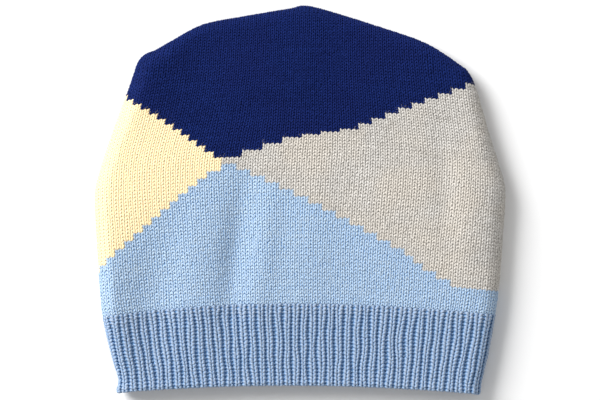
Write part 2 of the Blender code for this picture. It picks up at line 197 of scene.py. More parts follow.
@dataclass(frozen=True)
class HatForm:
    """Outer face of the cloth of the lying hat: a pouch with round folds at its sides and its crown."""

    width: float = HAT_WIDTH
    length: float = 0.227
    rim_width: float = RIM_WIDTH
    rim_arch: float = 0.0047
    rim_tilt: float = 0.0006
    edge_loft: float = 0.0135
    middle_rise: float = 0.0030
    rim_rise: float = 0.0010
    fold_reach: float = 0.0080
    rise_reach: float = 0.045
    swell_reach: float = 0.010
    full_rise_up: float = 0.5
    dent_height: float = 0.0036
    outline_steps: int = 24
    below_rim: float = 0.040
    rim_roll: float = 0.0015
    bed: float = 0.00045
    arc_steps: int = 240
    points_at_once: int = 3000

    def outline(self) -> tuple[Array, Array]:
        """Traces the hat's plan outline from its lower left corner over the crown to its lower right corner.

        A smooth curve runs through the edge points: between two of them it is the cubic whose slope at each
        point is half the step between that point's neighbours. A straight run is added under the rim.

        Returns:
            Points of the outline, and at each the unit direction into the hat.
        """
        points = np.array([(across * width / 2, (up - 0.5) * self.length)
                           for width, run in OUTLINE for across, up in run])
        ends = np.vstack([2 * points[0] - points[1], points, 2 * points[-1] - points[-2]])
        share = np.linspace(0.0, 1.0, self.outline_steps, endpoint=False)[:, None]
        runs = []
        for before, start, end, after in zip(ends, ends[1:], ends[2:], ends[3:]):
            bend = 2 * before - 5 * start + 4 * end - after
            twist = 3 * start - before - 3 * end + after
            runs.append(start + 0.5 * share * ((end - before) + share * (bend + share * twist)))
        below = np.array([[0.0, -self.below_rim]])
        line = np.vstack([points[:1] + below, *runs, points[-1:], points[-1:] + below])
        ahead = unit(np.gradient(line, axis=0))
        return line, np.stack([ahead[:, 1], -ahead[:, 0]], axis=1)

    def edge(self, plan: Array) -> tuple[Array, Array]:
        """Finds how deep inside the outline each point lies.

        The nearest point of each of the outline's straight pieces is the point's foot on it, held between
        its ends. The nearest of all feet gives the distance, under 0 outside the outline.

        Args:
            plan: points, shape (n, 2).

        Returns:
            Distances inside the outline, and the direction into the hat at the nearest point of it.
        """
        line, inward = self.outline()
        start, run = line[:-1], np.diff(line, axis=0)
        depths, directions = [], []
        for part in np.array_split(plan, max(1, len(plan) // self.points_at_once)):
            offset = part[:, None, :] - start
            share = np.clip((offset * run).sum(-1) / (run * run).sum(-1), 0.0, 1.0)
            gap = offset - share[..., None] * run
            span = np.linalg.norm(gap, axis=-1)
            best = span.argmin(axis=1)
            rows = np.arange(len(part))
            along = share[rows, best][:, None]
            direction = unit(inward[best] * (1 - along) + inward[best + 1] * along)
            side = np.sign((gap[rows, best] * direction).sum(-1))
            depths.append(side * span[rows, best])
            directions.append(direction)
        return np.concatenate(depths), np.concatenate(directions)

    def rolled(self, plan: Array, face: Face) -> tuple[Array, Array]:
        """Rolls the flat sheet round the hat's folds and lays it over one of its faces.

        Inside the fold's reach, the way from the fold's outermost line to the point, measured over the flat
        sheet, is laid along a quarter of an ellipse. A point past that line goes on round the fold. The
        under face lies a bed's thickness over the floor, for the yarn that stands proud of the cloth.

        Args:
            plan: points of the flat sheet, shape (rows, columns, 2).
            face: the face to lay it over.

        Returns:
            Points in space, and how far along the sheet each lies from the fold's outermost line.
        """
        depth, inward = self.edge(plan.reshape(-1, 2))
        depth, inward = depth.reshape(plan.shape[:2]), inward.reshape(plan.shape)
        turn = np.linspace(0.0, math.pi / 2, self.arc_steps)
        out, rise = self.fold_reach * (1 - np.cos(turn)), np.sin(turn)
        steps = np.hypot(np.diff(out), np.diff(rise) * self.edge_loft / 2)
        arc = np.concatenate([[0.0], np.cumsum(steps)])
        way = depth + arc[-1] - self.fold_reach
        in_fold = way < arc[-1]
        folded = np.where(in_fold, np.interp(np.abs(way), arc, out), depth)
        share = np.where(in_fold, np.sign(way) * np.interp(np.abs(way), arc, rise), 1.0)
        flat = plan + (folded - depth)[..., None] * inward
        if face is Face.UNDER:
            height = self.edge_loft / 2 * (1.0 - share) + self.bed * smooth_share(share)
        else:
            up = flat[..., 1] / self.length + 0.5
            lift = self.rim_rise + (self.middle_rise - self.rim_rise) * smooth_share(up / self.full_rise_up)
            height = self.edge_loft / 2 * (1.0 + share)
            height = height + smooth_share(folded / self.rise_reach) * lift
            height = height + smooth_share(folded / self.swell_reach) * self.swells(flat)
        return np.dstack([flat, height]), way

    def swells(self, plan: Array) -> Array:
        """Height that the ridges and dents add: a bell curve for each, across and along the hat."""
        across = plan[..., 0] / (self.width / 2)
        up = plan[..., 1] / self.length + 0.5
        total = np.zeros(plan.shape[:-1])
        for middle, level, reach_across, reach_up, lean, height in SWELLS:
            over = (up - level) / reach_up
            aside = (across - middle - lean * over) / reach_across
            total += height * self.dent_height * np.exp(-(aside**2) - over**2)
        return total

    def roll_line(self, x: Array) -> Array:
        """Y where the cloth starts to roll in at the rim: a shallow arch, lower at its right end."""
        share = x / (self.rim_width / 2)
        rim = -self.length / 2 + self.rim_arch * (1 - share**2) + self.rim_tilt * (1 - share)
        return rim + self.rim_roll


@dataclass(frozen=True)
class Gauge:
    """How the wales and courses of the knit run over the flat sheet."""

    wales: int = 88
    band_courses: int = 22
    meeting_wale: int = 28
    wale_pitch: float = 0.0028
    course_pitch: float = 0.0020
    middle_across: float = -0.07
    left_drop: float = 0.0099
    right_drop: float = 0.0064
    crown_start: float = 64.0
    crown_full: float = 92.0
    rounding_up: float = 0.03
    rounding_courses: float = 7.0
    rounding_across: float = 0.08
    band_share_end: float = 1.2
    passes: int = 4
    rib_middle: float = 1.5
    rib_relief: float = 0.0008
    rib_fullness: float = 2.4
    # how much more painted shade the yarn takes at the bottom of a rib's furrow
    furrow_painted_shade: float = 0.24
    rim_relief_share: float = 0.45
    rim_relief_courses: float = 3.0
    fade_start: float = 0.8
    fade_courses: float = 5.0
    top_filling: float = 0.0010
    top_courses: float = 1.2
    wander: float = 0.12
    body_wander_share: float = 0.4
    wander_margin: float = 6.0

    def wale_x(self, form: HatForm, wale: Array, y: Array) -> Array:
        """X of wales at heights: the cubic through the four marked wales of the rounded table row."""
        up = y / form.length + 0.5
        total = np.zeros(np.broadcast(wale, y).shape)
        for mark, crossings in zip(WALE_MARKS, WALE_ROWS.T[1:]):
            weight = 1.0
            for other in WALE_MARKS:
                if other != mark:
                    weight = weight * (wale - other) / (mark - other)
            total = total + weight * rounded_read(up, WALE_ROWS[:, 0], crossings, self.rounding_up)
        return total * form.width / 2

    def course_y(self, form: HatForm, course: Array, x: Array) -> Array:
        """Y of courses at places across the hat.

        Over the body a course is an arch, whose drop grows with the square of the way from the middle. Near
        the crown it lies square to the wales, by the table of drops. In the band it passes evenly from the
        line where the rim rolls in to the body's first course.

        Args:
            form: the hat's form.
            course: course numbers, 0 at the top of the band.
            x: places across the hat.

        Returns:
            Y of each course at each place.
        """
        across = x / (form.width / 2)
        middle = rounded_read(np.maximum(course, 0.0), *COURSE_LEVELS.T, self.rounding_courses)
        offset = across - self.middle_across
        arch = np.where(offset < 0, self.left_drop, self.right_drop) * offset**2
        crown = rounded_read(across, *CROWN_DROPS.T, self.rounding_across)
        share = smooth_share((course - self.crown_start) / (self.crown_full - self.crown_start))
        body = (middle - 0.5) * form.length - arch * (1 - share) - crown * share
        band = np.clip(-course / self.band_courses, 0.0, self.band_share_end)
        return np.where(course < 0, body * (1 - band) + form.roll_line(x) * band, body)

    def sheet(self, form: HatForm, wale: Array, course: Array) -> Array:
        """Places wales and courses on the flat sheet: X at the last Y and Y at that X, in a few passes."""
        y = self.course_y(form, course, wale * 0.0)
        for _ in range(self.passes):
            x = self.wale_x(form, wale, y)
            y = self.course_y(form, course, x)
        return np.dstack([x, y])

    def relief(self, wale: Array, course: Array, turned: Array) -> Array:
        """How far the cloth sinks into a furrow of the ribs.

        The furrow is a power of a cosine over two wales, which makes it narrower than the rib. It fades out
        above the band, where the purl bumps rise to the plain knit, and is shallower at the rim. As the
        cloth rolls round the rim, each furrow turns into a rib of the inner face.

        Args:
            wale: wale numbers.
            course: course numbers, which go on round the rim.
            turned: share of the rim's roll, 0 on the outer face and 1 on the inner one.

        Returns:
            Depth under the face's crests.
        """
        wave = (1.0 - np.cos(math.pi * (wale - self.rib_middle))) / 2
        furrow = wave**self.rib_fullness * (1 - turned) + (1 - wave)**self.rib_fullness * turned
        from_top = smooth_share((self.fade_start - course) / self.fade_courses)
        from_rim = smooth_share(np.abs(course + self.band_courses) / self.rim_relief_courses)
        depth = self.rim_relief_share + (1 - self.rim_relief_share) * from_rim
        filled = self.top_filling * (1 - from_top) * smooth_share(-course / self.top_courses)
        return furrow * (self.rib_relief * from_top * depth - filled)


class Chart:
    """Colour chart of the body: which yarn each stitch is knitted in."""

    navy_foot = 43
    cream_foot = 39
    grey_foot = 41
    spare = 2

    def __init__(self, gauge: Gauge) -> None:
        """Works out the lowest course of the navy block and of the side blocks in each wale."""
        self.meeting = gauge.meeting_wale
        self.navy = self.levels(self.navy_foot, NAVY_CREAM_STEPS, self.navy_foot, NAVY_GREY_STEPS)
        self.side = self.levels(self.cream_foot, CREAM_BLUE_STEPS, self.grey_foot, GREY_BLUE_STEPS)

    def levels(self, left_foot: int, left: Stairs, right_foot: int, right: Stairs) -> Array:
        """Course level of a colour change in each wale, from a little past the left fold.

        Args:
            left_foot: level just left of the meeting point.
            left: the stairs that go away from it to the left.
            right_foot: level at the meeting point.
            right: the stairs to the right.

        Returns:
            One level a wale.
        """
        runs = []
        for foot, stairs in ((left_foot, left), (right_foot, right)):
            times, wales, rises = np.array(stairs).T
            levels = foot + np.concatenate([[0], np.cumsum(np.repeat(rises, times))[:-1]])
            runs.append(np.repeat(levels, np.repeat(wales, times)))
        return np.concatenate([runs[0][self.meeting + self.spare - 1::-1], runs[1]])

    def has(self, block: Block, wale: Array, course: Array) -> Array:
        """Whether each stitch belongs to a block.

        Args:
            block: the yarn block.
            wale: whole wale numbers.
            course: whole course numbers.

        Returns:
            True where the stitch is the block's.
        """
        if block is Block.RIB:
            return course < 0
        navy, side = self.navy[wale + self.spare], self.side[wale + self.spare]
        if block is Block.NAVY:
            return course >= navy
        if block is Block.BLUE:
            return (course >= 0) & (course < side)
        on_side = (wale < self.meeting) == (block is Block.CREAM)
        return (course >= side) & (course < navy) & on_side


class Cloth:
    """One face of the hat's knitted sheet, with its place and its outward direction at any stitch.

    The under face counts its ribs one wale on, so that ribs and furrows take turns across the side folds.
    """

    margin = 4
    step = 0.5
    top_course = 102
    run_nodes = (13, 1)
    wander_nodes = (5, 21)
    last_cell = 1.001

    def __init__(self, form: HatForm, gauge: Gauge, face: Face, draw: np.random.Generator) -> None:
        """Lays a lattice of half wales and half courses over the face.

        It holds the cloth's places and directions, the shade that runs along each course's yarn, and how far
        the wales wander aside, which fades out at the folds.

        Args:
            form: the hat's form.
            gauge: how the knit runs.
            face: the face of the hat.
            draw: source of the small differences between stitches.
        """
        self.form, self.gauge, self.face, self.draw = form, gauge, face, draw
        self.chart = Chart(gauge)
        self.rib_shift = 0 if face is Face.UPPER else 1
        self.first_wale, self.first_course = -self.margin, -gauge.band_courses - self.margin
        wales = np.arange(self.first_wale, gauge.wales + self.margin + self.step, self.step)
        courses = np.arange(self.first_course, self.top_course + self.step, self.step)
        wale, course = np.meshgrid(wales, courses, indexing="ij")
        self.points, self.way = form.rolled(gauge.sheet(form, wale, course), face)
        across, self.upward = np.gradient(self.points, axis=0), unit(np.gradient(self.points, axis=1))
        outward = np.cross(across, self.upward)
        self.normals = unit(outward if face is Face.UPPER else -outward)
        own = np.random.default_rng(CLOTH_SEED)
        run = self.smoothed(own, *self.run_nodes)
        self.run = run[:, (np.arange(run.shape[1]) // 2) * 2]
        inside = smooth_share(np.minimum(wale, gauge.wales - wale) / gauge.wander_margin)
        calmer = (1 - gauge.body_wander_share) * smooth_share(course / gauge.fade_courses)
        self.wander = inside * (gauge.wander * (1 - calmer)) * self.smoothed(own, *self.wander_nodes)

    def smoothed(self, draw: np.random.Generator, across: int, along: int) -> Array:
        """Lattice of random numbers with a spread of 1, smoothed over nodes across and along the wales."""
        made = draw.normal(0.0, 1.0, self.points.shape[:2])
        for axis, nodes in ((0, across), (1, along)):
            kernel = np.hanning(nodes + 2)
            made = np.apply_along_axis(np.convolve, axis, made, kernel / np.linalg.norm(kernel), "same")
        return made

    def read(self, values: Array, wale: Array, course: Array) -> Array:
        """Reads a lattice at stitches, evenly between its four nearest nodes.

        Args:
            values: lattice of numbers or vectors.
            wale: wale numbers.
            course: course numbers.

        Returns:
            Value at each stitch.
        """
        at_wale = np.clip((wale - self.first_wale) / self.step, 0, values.shape[0] - self.last_cell)
        at_course = np.clip((course - self.first_course) / self.step, 0, values.shape[1] - self.last_cell)
        i, j = at_wale.astype(int), at_course.astype(int)
        u, v = at_wale - i, at_course - j
        if values.ndim == 3:
            u, v = u[..., None], v[..., None]
        low = values[i, j] * (1 - u) + values[i + 1, j] * u
        high = values[i, j + 1] * (1 - u) + values[i + 1, j + 1] * u
        return low * (1 - v) + high * v

    def place(self, wale: Array, course: Array, lift: Array) -> Array:
        """Point in space of each stitch place.

        Courses past the band's last one go round the rim on a half circle and then up the inner face.

        Args:
            wale: wale numbers.
            course: course numbers.
            lift: heights over the cloth's face.

        Returns:
            One point each.
        """
        past = np.maximum(-self.gauge.band_courses - course, 0.0)
        radius = self.form.rim_roll
        whole = math.pi * radius / self.gauge.course_pitch
        turn = np.minimum(past / whole, 1.0)[..., None] * math.pi
        flat = np.maximum(course, -self.gauge.band_courses) + np.maximum(past - whole, 0.0)
        aside = wale + self.read(self.wander, wale, flat)
        point, outward = self.read(self.points, aside, flat), unit(self.read(self.normals, aside, flat))
        upward = unit(self.read(self.upward, aside, flat))
        point = point - radius * (np.sin(turn) * upward + (1 - np.cos(turn)) * outward)
        over = lift - self.gauge.relief(wale + self.rib_shift, course, turn[..., 0] / math.pi)
        return point + over[..., None] * (np.cos(turn) * outward - np.sin(turn) * upward)

    def openness(self, wale: Array, course: Array) -> Array:
        """How open to the light each stitch place is: 1 on the crests, less down in the ribs' furrows, where
        the yarn takes more painted shade.
        """
        sunk = self.gauge.relief(wale + self.rib_shift, course, 0.0) / self.gauge.rib_relief
        return 1.0 - self.gauge.furrow_painted_shade * np.maximum(sunk, 0.0)

    def holds(self, wale: Array, course: Array, spare: float) -> Array:
        """Whether the face carries each stitch place, with a little to spare past the folds' middle."""
        past = np.maximum(-2 * self.gauge.band_courses - course, course)
        return self.read(self.way, wale, past) > -spare


def linked(name: str, data: bpy.types.ID) -> bpy.types.Object:
    """Makes an object of a mesh, lamp or camera and puts it into the scene."""
    made = bpy.data.objects.new(name, data)
    bpy.context.scene.collection.objects.link(made)
    return made


@dataclass
class Patch:
    """Part of a mesh: its vertices, its faces corner by corner, and what each vertex and corner carries."""

    points: Array
    corners: Array
    sizes: Array
    places: Array
    strands: Array
    tone: Array
    depth: Array

    @staticmethod
    def joined(patches: list["Patch"]) -> "Patch":
        """Joins patches into one, with their vertices counted on."""
        starts = np.cumsum([0] + [len(patch.points) for patch in patches[:-1]])
        parts = {field.name: [getattr(patch, field.name) for patch in patches] for field in fields(Patch)}
        parts["corners"] = [corners + start for corners, start in zip(parts["corners"], starts)]
        return Patch(**{name: np.concatenate(values) for name, values in parts.items()})

    def to_object(self, name: str) -> bpy.types.Object:
        """Puts the patch into a mesh object at the origin.

        Args:
            name: the object's name.

        Returns:
            The object, with its bake map, its map along the yarn, its tone attribute and its depth
            attribute, which sets how much painted shade the material gives each point.
        """
        mesh = bpy.data.meshes.new(name)
        mesh.vertices.add(len(self.points))
        mesh.vertices.foreach_set("co", self.points.astype(np.float32).ravel())
        mesh.loops.add(len(self.corners))
        mesh.loops.foreach_set("vertex_index", self.corners.astype(np.int32))
        starts = np.concatenate([[0], np.cumsum(self.sizes)[:-1]])
        mesh.polygons.add(len(self.sizes))
        mesh.polygons.foreach_set("loop_start", starts.astype(np.int32))
        mesh.update(calc_edges=True)
        for title, values in (("OFBake", self.places), ("strand", self.strands)):
            layer = mesh.uv_layers.new(name=title)
            layer.uv.foreach_set("vector", values.astype(np.float32).ravel())
        for title, values in (("tone", self.tone), ("depth", self.depth)):
            attribute = mesh.attributes.new(title, "FLOAT", "POINT")
            attribute.data.foreach_set("value", values.astype(np.float32))
        mesh.shade_smooth()
        return linked(name, mesh)


@dataclass(frozen=True)
class Looseness:
    """Spread of the small differences between stitches.

    Places are in wales and courses and heights in metres. tone is the shade of each stitch by itself, and
    run is the shade that it shares with its neighbours along the yarn.
    """

    across: float = 0.022
    along: float = 0.04
    lift: float = 0.00005
    size: float = 0.035
    tone: float = 0.13
    run: float = 0.09


@dataclass(frozen=True)
class MapArea:
    """Rectangle of a piece's bake map."""

    left: float
    low: float
    right: float
    high: float
    tile_share: float = 0.9

    def tiles(self, count: int) -> tuple[Array, float, float]:
        """Splits the area into equal tiles.

        Args:
            count: how many are needed.

        Returns:
            Lower left corner of each tile, and the tiles' width and height without their margin.
        """
        wide, tall = self.right - self.left, self.high - self.low
        columns = max(1, math.ceil(math.sqrt(count * wide / tall)))
        rows = max(1, math.ceil(count / columns))
        number = np.arange(count)
        corner = np.stack([self.left + wide * (number % columns) / columns,
                           self.low + tall * (number // columns) / rows], axis=1)
        return corner, wide / columns * self.tile_share, tall / rows * self.tile_share


class YarnPiece:
    """Short closed piece of yarn that is repeated over the cloth, such as one leg of a knit stitch."""

    ply_length = 0.001

    def __init__(self, table: Array, sides: int, gauge: Gauge, fibre: bool = False) -> None:
        """Sweeps a ring of points along the stations, with a point at each end.

        A ring is an ellipse square to the yarn's way, which starts at its top: its width lies in the cloth,
        across that way, and its height stands on the cloth. The end stations are the two end points.

        Args:
            table: the yarn's stations, one a row.
            sides: points of a ring.
            gauge: wale and course pitch, which turn lengths into wales and courses.
            fibre: whether it is one loose fibre, which has no plies and no painted shade on its underside.
        """
        pitch = np.array([gauge.wale_pitch, gauge.course_pitch])
        path = table[:, [1, 0]] * pitch
        ahead = unit(np.gradient(path, axis=0))
        across = np.stack([ahead[:, 1], -ahead[:, 0]], axis=1)
        turn = 2 * math.pi * (np.arange(sides) / sides + 0.25)
        out = np.cos(turn) * table[:, 3:4] / 2
        used = np.ones(out.shape, bool)
        used[[0, -1], 1:] = False
        self.flat = (path[:, None] + out[..., None] * across[:, None])[used] / pitch
        self.lift = (table[:, 2:3] + np.sin(turn) * table[:, 4:5] / 2)[used]
        self.count = len(self.lift)
        # how far up its ring each point lies, 0 at the yarn's ends: the material paints shade where this is
        # low
        self.height = ((np.sin(turn) + 1) / 2 * (table[:, 3:4] > 0))[used]
        self.faces(np.cumsum(used).reshape(used.shape) - 1, path)
        if fibre:
            # a loose fibre takes no painted shade
            self.height = np.ones(self.count)
            self.strand = self.strand * 0.0

    def faces(self, number: Array, path: Array) -> None:
        """Joins the rings with faces, and gives each corner its place on the tile and along the yarn.

        A face takes two neighbours of one ring and the same two of the next. At an end, where a ring is one
        point, it is a triangle.

        Args:
            number: vertex number of each point of each ring.
            path: the yarn's way over the cloth.
        """
        low, high = number[:-1], number[1:]
        quads = np.stack([low, np.roll(low, -1, axis=1), np.roll(high, -1, axis=1), high], axis=2)
        kept = np.ones(quads.shape, bool)
        kept[0, :, 0] = kept[-1, :, 3] = False
        side = np.arange(number.shape[1], dtype=float)
        around = np.tile(np.stack([side, side + 1, side + 1, side], axis=1), (len(low), 1, 1))
        around[0, :, :2] = around[-1, :, 2:] = side[:, None] + 0.5
        length = np.concatenate([[0.0], np.cumsum(np.linalg.norm(np.diff(path, axis=0), axis=1))])
        station = np.arange(len(low))[:, None, None] + np.array([0, 0, 1, 1])
        level = np.broadcast_to((length / length[-1])[station], quads.shape)
        self.corners, self.sizes = quads[kept], kept.sum(axis=2).ravel()
        self.tile = np.stack([around[kept] / len(side), level[kept]], axis=1)
        self.strand = self.tile * (1.0, length[-1] / self.ply_length)

    def mirrored_order(self) -> Array:
        """Order in which the corners are taken to turn every face round."""
        ends = np.cumsum(self.sizes)
        return np.repeat(2 * ends - self.sizes - 1, self.sizes) - np.arange(len(self.corners))

    def spread(self, cloth: Cloth, wale: Array, course: Array, mirrored: bool, area: MapArea,
               loose: Looseness) -> Patch:
        """Puts one copy on each stitch.

        Args:
            cloth: the face that carries them.
            wale: middle of each stitch across the cloth, in wales.
            course: foot of each stitch, in courses.
            mirrored: whether the copies lean the other way.
            area: room on the bake map.
            loose: how large the small differences are.

        Returns:
            The copies as one patch.
        """
        count = len(wale)
        shift = cloth.draw.normal(0.0, 1.0, (count, 5))
        side = -1.0 if mirrored else 1.0
        scale = 1.0 + loose.size * shift[:, 3:4]
        at_wale = wale[:, None] + loose.across * shift[:, :1] + side * self.flat[:, 0] * scale
        at_course = course[:, None] + loose.along * shift[:, 1:2] + self.flat[:, 1]
        lift = self.lift * scale + loose.lift * shift[:, 2:3]
        points = cloth.place(at_wale, at_course, lift)
        order = self.mirrored_order() if mirrored != (cloth.face is Face.UNDER) else slice(None)
        corner, wide, tall = area.tiles(count)
        places = corner[:, None, :] + self.tile[order] * (wide, tall)
        strands = np.broadcast_to(self.strand[order], places.shape) + shift[:, None, 4:5]
        run = cloth.read(cloth.run, wale, course)
        tone = np.repeat(0.5 + loose.tone * shift[:, 4] + loose.run * run, self.count)
        return Patch(
            points.reshape(-1, 3),
            (self.corners[order] + self.count * np.arange(count)[:, None]).ravel(),
            np.tile(self.sizes, count),
            places.reshape(-1, 2),
            strands.reshape(-1, 2),
            np.clip(tone, 0.0, 1.0),
            # how much of each point keeps the yarn's colour against its painted shade: low on the ring and
            # in the furrows
            (self.height * cloth.openness(at_wale, at_course)).ravel(),
        )


@dataclass(frozen=True)
class Fuzz:
    """Loose fibres that stand off the yarn, as thin curved strands of a few shapes.

    A shape is how far the strand runs up in courses and aside in wales, and how much it bends. share is the
    number of strands for each stitch that lies next to another yarn.
    """

    shapes: tuple[tuple[float, float, float], ...] = (
        (1.3, 0.3, 0.5), (0.4, 0.9, -0.4), (0.9, -0.7, 0.6), (1.6, -0.2, -0.5), (-0.8, 0.6, 0.5),
    )
    share: float = 1.1
    width: float = 0.00006
    start: float = 0.00005
    rise: float = 0.00035
    pieces: int = 6
    sides: int = 3

    def table(self, up: float, aside: float, bend: float) -> Array:
        """Stations of a strand: an arc between its two ends, which rises off the cloth as a parabola."""
        share = np.linspace(0.0, 1.0, self.pieces + 1)
        arc = 4 * share * (1 - share)
        width = self.width * (arc > 0.0)
        return np.stack([up * share + bend * aside * arc, aside * share - bend * up * arc / 2,
                         self.start + self.rise * arc, width, width], axis=1)

    def patches(self, cloth: Cloth, wale: Array, course: Array, edge: Array, area: MapArea,
                loose: Looseness) -> list[Patch]:
        """Scatters the strands over a block's stitches, where it meets another yarn.

        Args:
            cloth: the face of the hat.
            wale: wales of the stitches.
            course: courses of the stitches.
            edge: whether each stitch lies next to another yarn.
            area: room on the bake map, which the shapes share side by side.
            loose: how large the small differences are.

        Returns:
            One patch for each shape.
        """
        made = []
        wide = (area.right - area.left) / len(self.shapes)
        for number, shape in enumerate(self.shapes):
            chosen = edge & (cloth.draw.random(len(wale)) < self.share / len(self.shapes))
            spot = cloth.draw.random((2, chosen.sum()))
            left = area.left + wide * number
            room = MapArea(left, area.low, left + wide, area.high)
            strand = YarnPiece(self.table(*shape), self.sides, cloth.gauge, fibre=True)
            made.append(strand.spread(cloth, wale[chosen] + spot[0], course[chosen] + spot[1],
                                      bool(number % 2), room, loose))
        return made


@dataclass(frozen=True)
class Backing:
    """Wall of cloth behind the stitches, which shows as shade between them and as the hat's inner face, all
    of it in painted shade.

    On the bake map its outer face lies on the left, its inner face beside it and its rim last.
    """

    outer: float = -0.00036
    inner: float = -0.0024
    per_wale: int = 1
    past_fold: int = 2
    fold_spare: float = 0.0012
    # tone and openness of the whole wall: a darker tone and mostly the yarn's painted shade colour
    shade: float = 0.4
    map_face: float = 0.44
    map_inner: float = 0.45
    map_rim: float = 0.905
    map_tall: float = 0.98

    def patch(self, cloth: Cloth, block: Block, area: MapArea) -> Patch:
        """Builds the wall under a block's stitches.

        Each cell of the lattice that the block covers gives a square on both faces of the wall, and each
        side of a cell with no neighbour gives one square between them.

        Args:
            cloth: the face of the hat.
            block: the yarn block.
            area: room on the bake map.

        Returns:
            The wall as one patch.
        """
        step = 1 / self.per_wale
        wales = np.arange(-self.past_fold, cloth.gauge.wales + self.past_fold + step / 2, step)
        low, high = (-cloth.gauge.band_courses, 0) if block is Block.RIB else (0, cloth.top_course - 1)
        wale, course = np.meshgrid(wales, np.arange(low, high + 1), indexing="ij")
        foot_wale, foot_course = wale[:-1, :-1], course[:-1, :-1]
        kept = cloth.chart.has(block, np.floor(foot_wale).astype(int), foot_course)
        kept = kept & cloth.holds(foot_wale + step / 2, foot_course + 0.5, self.fold_spare)
        number, total = np.arange(wale.size).reshape(wale.shape), wale.size
        i, j = np.nonzero(kept)
        ring = np.stack([number[i, j], number[i + 1, j], number[i + 1, j + 1], number[i, j + 1]], axis=1)
        padded, sides = np.pad(kept, 1), []
        for over_wale, over_course, start, end in ((0, -1, 0, 1), (1, 0, 1, 2), (0, 1, 2, 3), (-1, 0, 3, 0)):
            bare = ~padded[i + 1 + over_wale, j + 1 + over_course]
            foot, head = ring[bare, start], ring[bare, end]
            sides.append(np.stack([head, foot, foot + total, head + total], axis=1))
        border = np.concatenate(sides)
        quads = np.concatenate([ring, ring[:, ::-1] + total, border])
        turn = slice(None, None, -1 if cloth.face is Face.UNDER else 1)
        places = self.places(quads, len(border), wale.shape, area)[:, turn]
        used, corners = np.unique(quads[:, turn], return_inverse=True)
        points = np.concatenate([cloth.place(wale, course, np.full(wale.shape, lift)).reshape(-1, 3)
                                 for lift in (self.outer, self.inner)])
        strands = np.tile(np.stack([wale.ravel(), course.ravel()], axis=1), (2, 1))
        # painted shade: the whole wall takes a darker tone and mostly the yarn's shade colour
        shade = np.full(len(used), self.shade)
        return Patch(points[used], corners.ravel(), np.full(len(quads), 4), places.reshape(-1, 2),
                     strands[quads[:, turn].ravel()], shade, shade)

    def places(self, quads: Array, borders: int, shape: tuple[int, int], area: MapArea) -> Array:
        """Places the wall's squares on the bake map.

        Args:
            quads: corner numbers of all squares, the ones between the two faces last.
            borders: how many lie between the two faces.
            shape: size of the lattice.
            area: room on the bake map.

        Returns:
            One place a corner.
        """
        wide, tall = area.right - area.left, (area.high - area.low) * self.map_tall
        corner = quads[:len(quads) - borders]
        inner = corner >= shape[0] * shape[1]
        across = corner // shape[1] % shape[0] / (shape[0] - 1) * self.map_face + self.map_inner * inner
        along = corner % shape[1] / (shape[1] - 1)
        grid = np.stack([area.left + wide * across, area.low + tall * along], axis=2)
        strip = MapArea(area.left + wide * self.map_rim, area.low, area.right, area.low + tall)
        foot, width, height = strip.tiles(borders)
        square = np.array([(1, 1), (0, 1), (0, 0), (1, 0)], float)
        return np.concatenate([grid, foot[:, None, :] + square * (width, height)])


class Value:
    """Output of a shader node that takes part in Python expressions."""

    def __init__(self, tree: bpy.types.NodeTree, socket: bpy.types.NodeSocket) -> None:
        """Wraps a socket of a node tree."""
        self.tree, self.socket = tree, socket

    def math(self, operation: str, first: object, second: object = None) -> "Value":
        """Adds a Math node.

        Args:
            operation: the node's operation.
            first: a Value or a number.
            second: a Value or a number, where the operation takes two.

        Returns:
            The node's result.
        """
        inputs = {0: first} if second is None else {0: first, 1: second}
        return Nodes(self.tree).value("ShaderNodeMath", {"operation": operation}, inputs)

    def __add__(self, other: object) -> "Value":
        """Sum."""
        return self.math("ADD", self, other)

    __radd__ = __add__

    def __mul__(self, other: object) -> "Value":
        """Product."""
        return self.math("MULTIPLY", self, other)

    __rmul__ = __mul__

    def __sub__(self, other: object) -> "Value":
        """Difference."""
        return self.math("SUBTRACT", self, other)

    def __rsub__(self, other: object) -> "Value":
        """Difference from a number."""
        return self.math("SUBTRACT", other, self)

    def sine(self) -> "Value":
        """Sine of the value."""
        return self.math("SINE", self)

    def clamped(self) -> "Value":
        """The value held between 0 and 1."""
        return self.math("MINIMUM", self.math("MAXIMUM", self, 0.0), 1.0)


def empty_material(name: str) -> bpy.types.Material:
    """Makes a material with no nodes."""
    made = bpy.data.materials.new(name)
    made.use_nodes = True
    made.node_tree.nodes.clear()
    return made


class Nodes:
    """Adds nodes to a material's tree."""

    def __init__(self, tree: bpy.types.NodeTree) -> None:
        """Works on a node tree."""
        self.tree = tree

    def add(self, kind: str, settings: dict[str, object], inputs: dict) -> bpy.types.Node:
        """Adds one node, sets it and feeds its sockets.

        Args:
            kind: the node's type.
            settings: the node's own settings, which are set first.
            inputs: a Value, number or colour for each socket, by its name or number.

        Returns:
            The node.
        """
        node = self.tree.nodes.new(kind)
        for name, setting in settings.items():
            setattr(node, name, setting)
        for name, value in inputs.items():
            if isinstance(value, Value):
                self.tree.links.new(value.socket, node.inputs[name])
            else:
                node.inputs[name].default_value = value
        return node

    def value(self, kind: str, settings: dict[str, object], inputs: dict, output: object = 0) -> Value:
        """Adds one node and wraps one of its outputs."""
        return Value(self.tree, self.add(kind, settings, inputs).outputs[output])

    def mix(self, share: Value, low: object, high: object) -> Value:
        """Mixes two colours, each an RGBA tuple or a Value, by a share."""
        return self.value("ShaderNodeMix", {"data_type": "RGBA"}, {0: share, 6: low, 7: high}, 2)

    def noise(self, at: Value, scale: float, detail: float) -> Value:
        """Soft noise from 0 to 1 at a place."""
        inputs = {"Vector": at, "Scale": scale, "Detail": detail}
        return self.value("ShaderNodeTexNoise", {}, inputs, "Fac")

    def surface(self, inputs: dict) -> None:
        """Ends the tree with a Principled shader that has these inputs."""
        shader = self.value("ShaderNodeBsdfPrincipled", {}, inputs)
        self.add("ShaderNodeOutputMaterial", {}, {0: shader})


